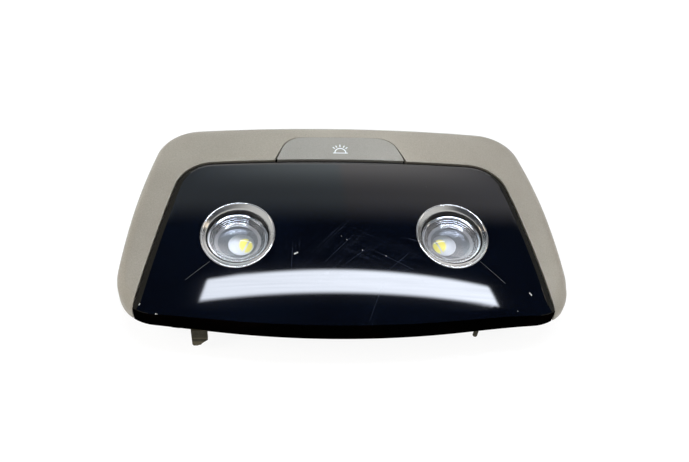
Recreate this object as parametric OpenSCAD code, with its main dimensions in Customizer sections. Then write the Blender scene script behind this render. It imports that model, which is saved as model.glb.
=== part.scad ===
// Car dome light with two round reading lamps and one dome button.
// It lies on its back: X runs to the right, Y away from the front edge, Z out of the face.
// The origin is in the middle of the flat back, and all sizes are millimetres.

/* [Face] */
// Radius of the face's crown from side to side
crown_rx = 700; // [600:10:1000]
// Radius of the face's crown from front to back
crown_ry = 220; // [200:5:300]
// Distance of the crest behind the middle
crest_y = 18; // [10:1:24]
// Height of the crest above the back
crest_z = 36.6; // [36:0.1:39]
// Height of the black panel above the bezel
panel_proud = 0.7; // [0.4:0.1:1]

/* [Outline] */
// Half the width where the rear corners' sides meet
rear_half = 79; // [77:0.5:82]
// Half the width at the waist
waist_half = 90.3; // [89:0.1:92]
// Distance of the waist behind the middle
waist_y = 5; // [0:1:10]
// Half the width where the front corners' sides meet
front_half = 96.1; // [94:0.1:99]
// Distance of those front corners before the middle
front_corner_y = 41; // [40:0.5:43]
// Distance that the front edge's tangents meet beyond its corners
front_rise = 16.2; // [14:0.1:17]
// Radius of the bowed front edge
front_bow_r = 400; // [380:5:420]
// Radius of the bowed sides
side_bow_r = 480; // [400:10:520]
// Radius of the four outer corners
corner_r = 19; // [16:0.5:20]

/* [Bezel] */
// Wall of the bezel and of the panel
wall = 2.2; // [1.8:0.1:2.4]
// Rounding of the bezel's outer edge
bezel_round = 4.5; // [3.5:0.5:5.5]

/* [Panel] */
// Half the width where the panel's rear corners' sides meet
panel_rear_half = 69.3; // [67:0.1:71]
// Distance of the panel's rear edge behind the middle
panel_rear_y = 27.4; // [26:0.1:28]
// Place on the front corner's arc where the panel's side ends, in degrees
panel_tip = -53.6; // [-56:0.1:-50]
// Radius of the panel's rear corners
panel_corner_r = 16; // [12:0.5:18]
// Width of the panel's bevelled edge
panel_bevel = 1.9; // [1.4:0.1:2]
// Depth of the panel's skirt inside the bezel
panel_skirt = 5; // [4:0.5:7]
// Gap between the panel and the bezel
panel_gap = 0.45; // [0.3:0.05:0.6]

/* [Button] */
// Half the width of the button's front edge
button_front_half = 29.3; // [28:0.1:31]
// Half the width of the button's rear edge
button_rear_half = 24.4; // [23:0.1:26]
// Depth of the button from front to rear
button_depth = 13.2; // [12:0.1:14]
// Radius of the button's rear corners
button_corner_r = 6.5; // [5:0.5:7]
// Wall of the button
button_wall = 1.6; // [1.4:0.1:2]
// Gap between the button and the panel
button_front_gap = 0.7; // [0.5:0.1:0.9]
// Gap between the button's sides and the bezel
button_gap = 0.3; // [0.25:0.05:0.4]
// Radius of the button's hinge pins
hinge_r = 1.25; // [1:0.05:1.5]
// Distance of the hinge behind the button's rear edge
hinge_back = 3.6; // [3.2:0.1:4]
// Depth of the hinge below the crest
hinge_drop = 8; // [7.5:0.1:9]
// Distance between the hinge arms
hinge_arm_x = 17; // [15:0.5:18]
// Distance from the middle to the button's push stem
stem_x = 12; // [11:0.5:13]

/* [Lamps] */
// Distance of each lamp from the middle
lamp_x = 45; // [43:0.5:47]
// Distance of the lamps before the middle
lamp_y = 12; // [10:0.5:14]
// Outer radius of the chrome ring
ring_r = 16; // [15.5:0.1:16.5]
// Width of the ring's lip
ring_lip = 0.7; // [0.5:0.1:1]
// Inner radius at the foot of the chrome cone
ring_throat_r = 13.2; // [13:0.1:13.5]
// Radius of the lens
lens_r = 12.5; // [12.2:0.1:12.7]
// Depth of the lens below the panel's face
lens_depth = 2.6; // [2.2:0.1:3.2]
// Radius of the disc sunk in the lens
lens_disc_r = 9; // [8.5:0.1:9.4]
// Radius of the dome inside the lens
lens_dome_r = 6.8; // [6.4:0.1:7]
// Travel of a pressed lens
lens_travel = 0.6; // [0.4:0.1:0.8]
// Outer radius of the sleeve that holds the lens
sleeve_r = 14; // [13.9:0.1:14.4]
// Wall of the tube that guides the sleeve
tube_wall = 1.6; // [1.4:0.1:2]

/* [Inside] */
// Depth of the rear cover
cover_depth = 14.5; // [14:0.5:16]
// Thickness of the carrier's plate
plate_t = 2; // [1.8:0.1:2.4]
// Thickness of the circuit board
board_t = 1.6; // [1.2:0.2:2]
// Wall of the rear cover
cover_wall = 2; // [1.6:0.1:2.4]
// Height of the switch bodies
switch_h = 3.6; // [3.4:0.1:3.8]
// Running clearance of sliding and turning pieces
run_gap = 0.2; // [0.15:0.05:0.3]
// Clearance of pieces that are seated
seat_gap = 0.1; // [0.05:0.05:0.2]
// Radius of the cover's screws
screw_r = 1.3; // [1.1:0.1:1.5]
// Radius of the screw heads
head_r = 2.6; // [2.4:0.1:3]

/* [Fixings] */
// Width of the hook tab
tab_w = 6.5; // [5.5:0.1:8]
// Distance of the hook tab from the middle
tab_x = 60; // [57:0.5:63]
// Distance of the hook tab's tip above the back
tab_tip_z = 3.3; // [2.5:0.1:5]
// Radius of the locating pin
pin_r = 1; // [0.8:0.1:1.2]
// Distance of the locating pin from the middle
pin_x = 54.5; // [52:0.5:58]
// Distance of the locating pin's tip above the back
pin_tip_z = 8.4; // [7:0.1:10]
// Distance of the spring clips from the middle
clip_x = 52; // [49:0.5:55]

/* [Hidden] */
$fn = 96;
// a hair of overlap where one solid runs into the next
eps = 0.01;

// heights above the back
plate_z = cover_depth + 0.5;
plate_top = plate_z + plate_t;
board_top = plate_z - 0.6;
board_z = board_top - board_t;
switch_top = board_top + switch_h;
plunger_top = switch_top + 0.6;

// crowned face: a ring surface with its crest over (0, crest_y)
function crown(x, y) =
    let (r = crown_rx - crown_ry + sqrt(crown_ry * crown_ry - (y - crest_y) * (y - crest_y)))
    crest_z - crown_rx + sqrt(r * r - x * x);

function unit(v) = v / norm(v);
function plan(c) = [c[0], c[1]];

// the outline's corners moved inwards by d, each corner being [x, y, radius, steps]
function inset(corners, d) = let (n = len(corners)) [
    for (i = [0:n - 1])
        let (q = plan(corners[i]),
            u = unit(q - plan(corners[(i + n - 1) % n])),
            v = unit(plan(corners[(i + 1) % n]) - q),
            m = [-u[1], u[0]],
            k = [-v[1], v[0]],
            s = (m + k) * d / (1 + m * k),
            r = corners[i][2])
        [q[0] + s[0], q[1] + s[1], r == 0 ? 0 : max(r - d, 0.05), corners[i][3]]];

function corner_arc(p, q, s, r, n) =
    r == 0 ? [q] :
    let (a = unit(p - q),
        b = unit(s - q),
        half = acos(a * b) / 2,
        centre = q + unit(a + b) * r / sin(half),
        from = q + a * r / tan(half) - centre,
        start = atan2(from[1], from[0]),
        sweep = 180 - 2 * half)
    [for (k = [0:n]) centre + r * [cos(start + sweep * k / n), sin(start + sweep * k / n)]];

// the points of a rounded outline, with its bowed edges as arcs
function outline(corners) = let (n = len(corners)) [
    for (i = [0:n - 1])
        each corner_arc(plan(corners[(i + n - 1) % n]), plan(corners[i]),
            plan(corners[(i + 1) % n]), corners[i][2], corners[i][3])];

// a half outline, from front to rear on the right, closed by its mirror image on the left
function mirrored(half) = concat(half,
    [for (i = [len(half) - 1:-1:0]) if (half[i][0] > 0)
        [-half[i][0], half[i][1], half[i][2], half[i][3]]]);

// a closed skin through rings of equally many points, shut by one point at each end
module skin(rings, first, last) {
    n = len(rings[0]);
    m = len(rings);
    end = m * n + 1;
    polyhedron(
        points = [first, for (ring = rings) each ring, last],
        faces = [
            for (i = [0:n - 1]) [0, 1 + (i + 1) % n, 1 + i],
            for (k = [0:m - 2]) for (i = [0:n - 1])
                let (a = 1 + k * n + i, b = 1 + k * n + (i + 1) % n)
                each [[a, b, a + n], [b, b + n, a + n]],
            for (i = [0:n - 1]) [end, end - n + i, end - n + (i + 1) % n]],
        convexity = 8);
}

// an outline laid on the crown, lowered by a drop
function on_crown(points, drop) = [for (p = points) [p[0], p[1], crown(p[0], p[1]) - drop]];
function at_height(points, z) = [for (p = points) [p[0], p[1], z]];
function shrunk(points, centre, s) = [for (p = points) centre + s * (p - centre)];

// everything below the crown, lowered by a drop
module below_crown(drop) {
    reach = 90;
    translate([0, crest_y, crest_z - crown_rx])
        rotate([-90, 0, 0])
            rotate([0, 0, -100])
                rotate_extrude(angle = 20, $fn = 720)
                    intersection() {
                        translate([crown_rx - crown_ry, 0]) circle(r = crown_ry - drop, $fn = 720);
                        translate([crown_rx - 60, -reach]) square([80, 2 * reach]);
                    }
}

// outer outline
front_apex_y = front_corner_y + front_rise;
front_turn = atan(front_rise / front_half);
front_y = front_apex_y - front_bow_r * (1 / cos(front_turn) - 1);
rear_y = front_y;
rear_run = 0.7 * rear_half;
rear_line = [for (k = [4:-1:0]) [rear_run * k / 4, rear_y, 0, 0]];
outer_half = concat([
    [0, -front_apex_y, front_bow_r, 14],
    [front_half, -front_corner_y, corner_r, 7],
    [waist_half, waist_y, side_bow_r, 6],
    [rear_half, rear_y, corner_r, 7]], rear_line);
outer_corners = mirrored(outer_half);
function outer_at(d) = outline(inset(outer_corners, d));

// centre of the outer front corner's arc, on the right
front_in = unit([-front_half, -front_rise]);
front_up = unit([waist_half - front_half, waist_y + front_corner_y]);
front_wedge = acos(front_in * front_up) / 2;
front_centre = [front_half, -front_corner_y] + unit(front_in + front_up) * corner_r / sin(front_wedge);

// the panel's side runs from its rear corner to its tip on that arc
panel_front = front_centre + corner_r * [cos(panel_tip), sin(panel_tip)];
panel_rear = [panel_rear_half, panel_rear_y];
side_way = unit(panel_front - panel_rear);
side_run = norm(panel_front - panel_rear);
// the arc before it keeps the outer corner's radius, from the front edge's tangent
front_foot = [front_half, -front_corner_y] + front_in * corner_r / tan(front_wedge) - front_centre;
foot_angle = atan2(front_foot[1], front_foot[0]);
arc_half = (panel_tip - 4 - foot_angle) / 2;
arc_corner = front_centre
    + corner_r / cos(arc_half) * [cos(foot_angle + arc_half), sin(foot_angle + arc_half)];
side_points = [for (k = [1:5])
    let (p = panel_front + side_way * -(k * (side_run - panel_corner_r) / 6)) [p[0], p[1], 0, 0]];
panel_rear_line = [for (k = [3:-1:0]) [0.7 * panel_rear_half * k / 3, panel_rear_y, 0, 0]];
panel_corners = mirrored(concat([
    [0, -front_apex_y, front_bow_r, 16],
    [arc_corner[0], arc_corner[1], corner_r, 3],
    [panel_front[0], panel_front[1], 0, 0]],
    side_points,
    [[panel_rear_half, panel_rear_y, panel_corner_r, 7]],
    panel_rear_line));
function panel_at(d) = outline(inset(panel_corners, d));

// button outline
button_front_y = panel_rear_y + button_front_gap;
button_rear_y = button_front_y + button_depth;
button_corners = mirrored([
    [0, button_front_y, 0, 0],
    [button_front_half / 3, button_front_y, 0, 0],
    [button_front_half * 2 / 3, button_front_y, 0, 0],
    [button_front_half, button_front_y, 0.8, 2],
    [button_rear_half, button_rear_y, button_corner_r, 6],
    [button_rear_half / 3, button_rear_y, 0, 0]]);
function button_at(d) = outline(inset(button_corners, d));
hinge_y = button_rear_y + hinge_back;
hinge_z = crest_z - hinge_drop;
arm_t = 2.4;
stem_y = button_front_y + 5;
icon_y = button_front_y + 6.6;

// lamp heights: the panel's face over the lamp's axis sets the lens
lamp_face_z = crown(lamp_x, -lamp_y);
lens_top = lamp_face_z - lens_depth;
lens_flange_t = 2.8;
lens_seat = lens_top - lens_flange_t;
tube_top = lens_seat + 0.6;
tube_r = sleeve_r + run_gap;
switch_reach = 18.5;

module each_side() {
    children();
    mirror([1, 0, 0]) children();
}

// a closed shell made of two mirrored halves that meet on the middle plane
// faces are lists of point numbers of the right half, seen clockwise from outside
module mirrored_shell(points, faces) {
    n = len(points);
    polyhedron(
        points = concat(points, [for (p = points) [-p[0], p[1], p[2]]]),
        faces = concat(faces, [for (f = faces) [for (i = [len(f) - 1:-1:0]) f[i] + n]]),
        convexity = 8);
}

// two triangles between the steps i and j of the rings that start at points a and b
function strip(a, b, i, j) = [[a + i, a + j, b + i], [a + j, b + j, b + i]];
function right_half(points) = [for (p = points) if (p[0] > -eps) [max(p[0], 0), p[1]]];
function rising(points) = let (at = [for (i = [0:len(points) - 1]) if (points[i][0] == 0) i])
    points[at[0]][1] < 0 ? points : [for (i = [len(points) - 1:-1:0]) points[i]];

// seen from a focus before the middle, both edges of the bezel rise steadily in bearing
focus = [0, -40];
function bearing(p) = atan2(p[1] - focus[1], p[0] - focus[0]);
function hit(line, a) = let (
    k = [for (i = [0:len(line) - 2]) if (bearing(line[i]) < a && bearing(line[i + 1]) >= a) i][0],
    way = [cos(a), sin(a)],
    run = line[k + 1] - line[k],
    p = line[k] + run * cross(focus - line[k], way) / cross(run, way))
    a == 90 ? [0, p[1]] : p;
function sorted(v) = len(v) < 2 ? v :
    concat(sorted([for (x = v) if (x < v[0]) x]), [v[0]], sorted([for (x = v) if (x > v[0]) x]));

// grey U-shaped bezel, open at the front where the panel turns down
module bezel() {
    hole_rear_y = panel_rear_y + panel_gap;
    notch_lean = (button_front_half - button_rear_half) / button_depth;
    notch_x = button_front_half + button_gap * sqrt(1 + notch_lean * notch_lean)
        + (button_front_y - hole_rear_y) * notch_lean;
    side = outline(inset([
        [panel_front[0] + side_way[0] * 9, panel_front[1] + side_way[1] * 9, 0, 0],
        [panel_rear_half, panel_rear_y, panel_corner_r, 8],
        [-panel_rear_half, panel_rear_y, 0, 0],
        [-panel_front[0], panel_front[1], 0, 0]], -panel_gap));
    notch = outline(inset(button_corners, -button_gap));
    inner = concat(
        [for (p = side) if (p[0] > notch_x + 2) p],
        [[notch_x, hole_rear_y]],
        [for (p = notch) if (p[0] > 0 && p[1] > button_front_y + button_depth / 2) p],
        [[0, button_rear_y + button_gap]]);
    outer = right_half(outer_at(0));
    // the band starts at the first bearing where it is wide enough to mould
    tip_w = 0.5;
    first = bearing(inner[0]) + eps;
    tip = min([for (a = [first:0.25:first + 20])
        if (norm(hit(outer, a) - focus) > norm(hit(inner, a) - focus) + tip_w) a]);
    inner_turns = [for (p = inner) if (bearing(p) > tip) bearing(p)];
    outer_turns = [for (p = outer) let (a = bearing(p))
        if (a > tip && min([for (b = inner_turns) abs(b - a)]) > 0.6) a];
    turns = concat([tip], sorted(concat(inner_turns, outer_turns)));
    round_steps = [for (t = [67.5:-22.5:0]) [bezel_round * (1 - cos(t)), bezel_round * (1 - sin(t))]];
    levels = concat([[bezel_round, 0]], round_steps);
    lines = [for (d = [bezel_round, round_steps[0][0], round_steps[1][0], round_steps[2][0], 0, wall])
        right_half(outer_at(d))];
    // where the band is narrower than its rounded edge, the edge is squeezed in
    function across(a, line, share) = let (
        near = hit(inner, a),
        far = hit(lines[4], a),
        p = hit(lines[line], a),
        least = near + (far - near) * share)
        norm(p - focus) > norm(least - focus) ? p : least;
    function lay(p, drop) = [p[0], p[1], crown(p[0], p[1]) - panel_proud - drop];
    function section(a) = let (
        near = hit(inner, a),
        top = across(a, 0, 0.3),
        under = across(a, 5, 0.75),
        under_top = across(a, 0, 0.35))
        concat(
            [for (s = [0, 0.33, 0.67]) lay(near + s * (top - near), 0)],
            [for (k = [0:4]) lay(across(a, k, 0.3 + 0.14 * k), levels[k][1])],
            [[hit(lines[4], a)[0], hit(lines[4], a)[1], cover_depth], [under[0], under[1], cover_depth],
            lay(under, bezel_round), lay(under_top, wall)],
            [lay(near + 0.5 * (under_top - near), wall), lay(near, wall)]);
    sections = [for (a = turns) section(a)];
    n = len(sections[0]);
    last = len(sections) - 1;
    color([0.64, 0.63, 0.59]) mirrored_shell(
        [for (s = sections) each s],
        concat([[for (i = [0:n - 1]) i]],
            [for (k = [0:last - 1]) for (i = [0:n - 1]) each strip((k + 1) * n, k * n, i, (i + 1) % n)]));
}

// gloss black panel: crowned face, bevelled edges and the front wall in one moulding
module front_panel() {
    lamp = [lamp_x, -lamp_y];
    // the hole's corners stand out so that its flats clear the ring
    widest_step = 18;
    hole_r = (ring_r + seat_gap) / cos(widest_step / 2);
    splits = 9;
    // one half of an outline, closed along the middle plane
    function half_loop(points) = let (
        p = rising(right_half(points)),
        from = p[len(p) - 1][1],
        to = p[0][1])
        concat(p, [for (k = [1:splits - 1]) [0, from + (to - from) * k / splits]]);
    function hole(loop) = [for (p = loop) lamp + hole_r * unit(p - lamp)];
    function between(loop, s) = let (h = hole(loop))
        [for (i = [0:len(loop) - 1]) h[i] + s * (loop[i] - h[i])];
    function foot(p) = p[1] < panel_front[1] + 0.5 ? cover_depth : crown(p[0], p[1]) - panel_skirt;
    function feet(points) = [for (p = points) [p[0], p[1], foot(p)]];
    top = half_loop(panel_at(panel_bevel));
    under = half_loop(panel_at(wall + 0.8));
    n = len(top);
    m = n - splits + 1;
    reach = [0, 0.12, 0.3, 0.5, 0.75, 1];
    tops = [for (s = reach) on_crown(between(top, s), 0)];
    unders = [for (s = [1, 0.75, 0.5, 0.3, 0]) on_crown(between(under, s), wall)];
    function edge(d, drop) = on_crown(half_loop(panel_at(d)), drop);
    walls = [edge(panel_bevel * 0.4, panel_bevel * 0.3), edge(0, panel_bevel * 0.8),
        feet(half_loop(panel_at(0))), feet(half_loop(panel_at(wall))), edge(wall, wall + 0.8)];
    rings = concat(tops, walls, unders);
    first_wall = len(tops) - 1;
    last_wall = first_wall + len(walls);
    count = len(rings);
    color([0.03, 0.04, 0.07]) mirrored_shell(
        [for (r = rings) each r],
        [for (k = [0:count - 1]) let (a = k * n, b = ((k + 1) % count) * n)
            for (i = [0:(k >= first_wall && k <= last_wall ? m - 2 : n - 1)])
                each strip(a, b, i, (i + 1) % n)]);
}

// chrome ring: its lip follows the panel's crown, and its cone leads down to the lens
module trim_ring() {
    color([0.82, 0.83, 0.85]) intersection() {
        translate([lamp_x, -lamp_y, 0]) rotate_extrude() polygon([
            [ring_throat_r, tube_top + seat_gap],
            [ring_throat_r, lens_top + 0.2],
            [ring_r - ring_lip, crest_z - 2.5],
            [ring_r - ring_lip, crest_z + 2],
            [ring_r, crest_z + 2],
            [ring_r, tube_top + seat_gap]]);
        below_crown(-0.25);
    }
}

// clear lens: stepped flange, sunk disc, dome, and a cone below that gathers the light
module lens() {
    steps = 3;
    step_w = (lens_r - 1.1 - lens_disc_r) / steps;
    disc_z = lens_top - 1.8;
    dome_z = lens_top - 4.2;
    dome_rise = 1.8;
    dome_ball = (lens_dome_r * lens_dome_r + dome_rise * dome_rise) / (2 * dome_rise);
    tip_z = board_top + 2.6;
    tip_r = 4.8;
    pocket_r = 3.2;
    pocket_z = tip_z + 4.4;
    stairs = [for (k = [0:steps - 1])
        each [[lens_r - 1.1 - k * step_w, lens_top - 0.6 * k],
            [lens_r - 1.1 - k * step_w, lens_top - 0.6 * (k + 1)]]];
    dome = [for (k = [8:-1:0]) let (r = lens_dome_r * k / 8)
        [r, dome_z + dome_rise - dome_ball + sqrt(dome_ball * dome_ball - r * r)]];
    pocket = [for (k = [0:6]) let (a = 15 * k) [pocket_r * sin(a), pocket_z - 1.4 + 1.4 * cos(a)]];
    color([0.86, 0.9, 0.95, 0.5]) translate([lamp_x, -lamp_y, 0]) rotate_extrude() polygon(concat(
        [[lens_r, lens_seat], [lens_r, lens_top]],
        stairs,
        [[lens_disc_r, disc_z], [lens_dome_r + 0.4, disc_z]],
        dome,
        pocket,
        [[pocket_r, tip_z], [tip_r, tip_z], [sleeve_r - 3, lens_seat]]));
}

// black sleeve that carries the lens, with an arm that presses its switch
module lens_sleeve() {
    arm_z = plunger_top + seat_gap;
    sleeve_z = plate_top + lens_travel + 0.6;
    color([0.06, 0.06, 0.07]) translate([lamp_x, -lamp_y, 0]) difference() {
        union() {
            translate([0, 0, sleeve_z]) cylinder(r = sleeve_r, h = lens_seat - sleeve_z);
            translate([-switch_reach - 2, -2, arm_z]) cube([switch_reach, 4, 2.2]);
        }
        translate([0, 0, plate_z]) cylinder(r1 = sleeve_r - 3.6, r2 = sleeve_r - 2.6, h = lens_seat - plate_z + eps);
    }
}

module lamp_led() {
    color([0.95, 0.85, 0.35]) translate([lamp_x, -lamp_y, board_top]) {
        translate([-1.75, -1.75, 0]) cube([3.5, 3.5, 0.7]);
        translate([0, 0, 0.7 - eps]) intersection() {
            translate([0, 0, -0.6]) sphere(r = 1.7);
            cylinder(r = 1.7, h = 3);
        }
    }
}

// board outline: four-sided with cut corners
cover_front_y = 37;
cover_rear_y = 43;
cover_half = 80;
module board_plan(d) {
    polygon(outline(inset([
        [cover_half, -cover_front_y, 9, 6],
        [cover_half - 8, cover_rear_y, 9, 6],
        [-cover_half + 8, cover_rear_y, 9, 6],
        [-cover_half, -cover_front_y, 9, 6]], d)));
}

board_screw_spots = [[cover_half - 12, 11 - cover_front_y], [cover_half - 20, cover_rear_y - 11]];
cover_screw_spots = [[cover_half - 9, -3], [30, cover_rear_y - 7], [30, 5.5 - cover_front_y]];

module circuit_board() {
    board_gap = 0.6;
    color([0.08, 0.3, 0.16]) difference() {
        translate([0, 0, board_z]) linear_extrude(height = board_t) board_plan(cover_wall + board_gap);
        each_side() {
            for (p = board_screw_spots) translate([p[0], p[1], 0]) cylinder(r = screw_r + 0.3, h = crest_z);
            for (p = cover_screw_spots) translate([p[0], p[1], 0]) cylinder(r = head_r + 1.4, h = crest_z);
        }
    }
}

// sides of the panel and of the bezel at a distance behind the middle
function panel_side(y) = panel_rear_half + (y - panel_rear_y) * side_way[0] / side_way[1];
function outer_side(y) = y > waist_y
    ? waist_half + (rear_half - waist_half) * (y - waist_y) / (rear_y - waist_y)
    : waist_half + (front_half - waist_half) * (waist_y - y) / (waist_y + front_corner_y);
function in_bezel(y) = [panel_side(y) + 0.35 * (outer_side(y) - panel_side(y)), y];

// towers of the carrier that the panel and the bezel are bonded to
tower_r = 2.4;
bond_gap = 0.25;
beside_ring = ring_r + 5;
panel_towers = [for (p = [[-1.2, -0.86], [-1.2, 0.95], [1, -0.86], [0.8, 1.24]])
    [lamp_x + p[0] * beside_ring, -lamp_y + p[1] * beside_ring]];
bezel_towers = [[rear_half - corner_r, (panel_rear_y + rear_y) / 2],
    in_bezel(24), in_bezel(-6), in_bezel(-25)];
module tower(p, drop) {
    top = min(crown(p[0] + tower_r, p[1] + tower_r), crown(p[0] + tower_r, p[1] - tower_r)) - drop;
    translate([p[0], p[1], plate_top - eps]) cylinder(r = tower_r, h = top - plate_top + eps);
}

// upright with the bearing for one of the button's hinge pins
module hinge_post() {
    post_t = 2;
    post_half = 2.4;
    post_x = hinge_arm_x + arm_t / 2 + run_gap;
    over = 2.3;
    difference() {
        translate([post_x, hinge_y - post_half, plate_top - eps])
            cube([post_t, 2 * post_half, hinge_z + over - plate_top + eps]);
        translate([0, hinge_y, hinge_z]) rotate([0, 90, 0]) cylinder(r = hinge_r + seat_gap, h = post_x + 2 * post_t);
    }
}

// warm grey moulding inside: plate, lamp tubes, screw bosses, hook tab and locating pin
module carrier_frame() {
    plate_gap = 0.3;
    window = 3.6;
    tab_y = -front_y + 4;
    tab_t = 1.6;
    color([0.27, 0.26, 0.23]) {
        difference() {
            union() {
                translate([0, 0, plate_z]) linear_extrude(height = plate_t)
                    polygon(outer_at(wall + plate_gap));
                each_side() {
                    translate([lamp_x, -lamp_y, plate_top - eps])
                        cylinder(r = tube_r + tube_wall, h = tube_top - plate_top + eps);
                    for (p = panel_towers) tower(p, wall + bond_gap);
                    for (p = bezel_towers) tower(p, panel_proud + wall + bond_gap);
                    hinge_post();
                    for (p = board_screw_spots) translate([p[0], p[1], board_top + eps])
                        cylinder(r = 3, h = plate_z - board_top);
                    for (p = cover_screw_spots) translate([p[0], p[1], cover_wall + 1.5])
                        cylinder(r = head_r + 0.6, h = plate_z - cover_wall - 1.5 + eps);
                }
            }
            each_side() {
                // lamp well, and the slot for the sleeve's arm
                translate([lamp_x, -lamp_y, plate_z - 1]) cylinder(r = tube_r, h = crest_z);
                translate([lamp_x - switch_reach - 4, -lamp_y - 4, plate_z - 1])
                    cube([switch_reach, 8, plunger_top - plate_z + 4.4]);
                for (p = board_screw_spots) translate([p[0], p[1], 0])
                    cylinder(r = screw_r - 0.15, h = plate_top - 0.5);
                for (p = cover_screw_spots) translate([p[0], p[1], 0])
                    cylinder(r = screw_r - 0.15, h = plate_top - 0.5);
            }
            // window over the button's switch, the light guide and its lamp
            translate([-stem_x - window - 1.5, stem_y - window, 0])
                cube([stem_x + window + 6, 2 * window + 2, crest_z]);
        }
        // hook tab with one clipped corner, hanging behind the front wall
        translate([-tab_x, tab_y, 0]) rotate([90, 0, 0]) translate([0, 0, -tab_t])
            linear_extrude(height = tab_t) polygon([
                [-tab_w / 2, plate_z + eps], [-tab_w / 2, tab_tip_z + 1], [-tab_w / 2 + 0.5, tab_tip_z],
                [-tab_w * 0.2, tab_tip_z], [tab_w * 0.05, tab_tip_z + 0.8], [tab_w * 0.15, tab_tip_z + 2],
                [tab_w / 2, tab_tip_z + 4.4], [tab_w / 2, plate_z + eps]]);
        translate([-tab_x - tab_w / 2, tab_y + tab_t - eps, plate_z - 4]) cube([tab_w, 2.4, 4 + eps]);
        translate([pin_x, tab_y + tab_t, pin_tip_z]) cylinder(r = pin_r, h = plate_z - pin_tip_z + eps);
    }
}

// dome button: crowned cap, hinge arms at the rear and a stem that presses the switch
module dome_button() {
    middle = [0, (button_front_y + button_rear_y) / 2];
    depth = 4;
    inner = button_at(button_wall);
    rings = concat(
        [for (s = [0.3, 0.65]) on_crown(shrunk(button_at(0.5), middle, s), panel_proud)],
        [on_crown(button_at(0.5), panel_proud), on_crown(button_at(0), panel_proud + 0.5)],
        [on_crown(button_at(0), panel_proud + depth), on_crown(inner, panel_proud + depth)],
        [for (s = [1, 0.65, 0.3]) on_crown(shrunk(inner, middle, s), panel_proud + button_wall)]);
    color([0.65, 0.65, 0.63]) {
        skin(rings, [middle[0], middle[1], crown(0, middle[1]) - panel_proud],
            [middle[0], middle[1], crown(0, middle[1]) - panel_proud - button_wall]);
        translate([-stem_x, stem_y, plunger_top + seat_gap])
            cylinder(r = 1.8, h = crown(stem_x, stem_y) - panel_proud - button_wall / 2 - plunger_top - seat_gap);
        each_side() {
            eye_r = 2;
            pin_l = 4.2;
            arm_top = crown(hinge_arm_x, button_rear_y) - panel_proud - button_wall;
            translate([hinge_arm_x - arm_t / 2, button_rear_y - 3, hinge_z - eye_r])
                cube([arm_t, 2.8, arm_top - hinge_z + eye_r + 0.4]);
            translate([hinge_arm_x - arm_t / 2, button_rear_y - 1, hinge_z - eye_r])
                cube([arm_t, hinge_back + 1, 2 * eye_r]);
            translate([hinge_arm_x - arm_t / 2, hinge_y, hinge_z]) rotate([0, 90, 0]) cylinder(r = eye_r, h = arm_t);
            translate([hinge_arm_x, hinge_y, hinge_z]) rotate([0, 90, 0]) cylinder(r = hinge_r, h = pin_l);
        }
    }
}

// push switch: square body with a round hole for its plunger
module push_switch(x, y) {
    color([0.15, 0.15, 0.16]) translate([x, y, board_top]) difference() {
        translate([-3, -3, 0]) cube([6, 6, switch_h]);
        translate([0, 0, 1]) cylinder(r = 1.5 + run_gap, h = switch_h);
    }
}
module plunger(x, y) {
    stroke = 0.9;
    color([0.85, 0.85, 0.83]) translate([x, y, board_top + 1 + stroke])
        cylinder(r = 1.5, h = plunger_top - board_top - 1 - stroke);
}

module icon_led() {
    color([0.9, 0.9, 0.8]) translate([-1, icon_y - 0.6, board_top]) cube([2, 1.2, 0.8]);
}

// clear pipe that leads light up to the sign on the button
module icon_light_guide() {
    foot = board_top + 1.2;
    head = crown(0, icon_y) - panel_proud - button_wall - 1.6;
    color([0.85, 0.9, 0.92, 0.6]) {
        translate([0, icon_y, foot]) cylinder(r1 = 1.6, r2 = 2.6, h = head - foot);
        translate([-1.2, icon_y, plate_top + seat_gap]) cube([2.4, 7.6, 1.8]);
    }
}

// rear cover: shallow tray with counterbored screw wells and a socket window
socket_x = -14;
socket_w = 16;
socket_h = 8.4;
module rear_cover() {
    lip = 0.2;
    color([0.12, 0.12, 0.12]) difference() {
        union() {
            difference() {
                linear_extrude(height = plate_z - lip) board_plan(0);
                translate([0, 0, cover_wall]) linear_extrude(height = cover_depth) board_plan(cover_wall);
            }
            each_side() for (p = cover_screw_spots) translate([p[0], p[1], 0])
                cylinder(r = head_r + 2, h = cover_wall + 1.3);
        }
        each_side() for (p = cover_screw_spots) translate([p[0], p[1], -1]) {
            cylinder(r = head_r + 0.3, h = 2.6);
            cylinder(r = screw_r + 0.2, h = 8);
        }
        translate([socket_x - socket_w / 2 - seat_gap, cover_rear_y - 5, board_z - socket_h - seat_gap])
            cube([socket_w + 2 * seat_gap, 10, socket_h + 2 * seat_gap]);
        // cooling slots
        for (x = [20:5:50]) translate([x, -22, -1]) cube([2, 12, cover_wall + 2]);
    }
}

module connector_shell() {
    shell = 1.2;
    color([0.9, 0.9, 0.87]) difference() {
        translate([socket_x - socket_w / 2, cover_rear_y - 14, board_z - socket_h])
            cube([socket_w, 14.6, socket_h]);
        translate([socket_x - socket_w / 2 + shell, cover_rear_y - 11, board_z - socket_h + shell])
            cube([socket_w - 2 * shell, 14, socket_h - 2 * shell]);
    }
}

module connector_pins() {
    pins = 5;
    pitch = 2.5;
    color([0.8, 0.7, 0.4]) for (k = [0:pins - 1])
        translate([socket_x + (k - (pins - 1) / 2) * pitch, cover_rear_y - 11 + eps, board_z - socket_h / 2])
            translate([-0.32, 0, -0.32]) cube([0.64, 7, 0.64]);
}

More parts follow.
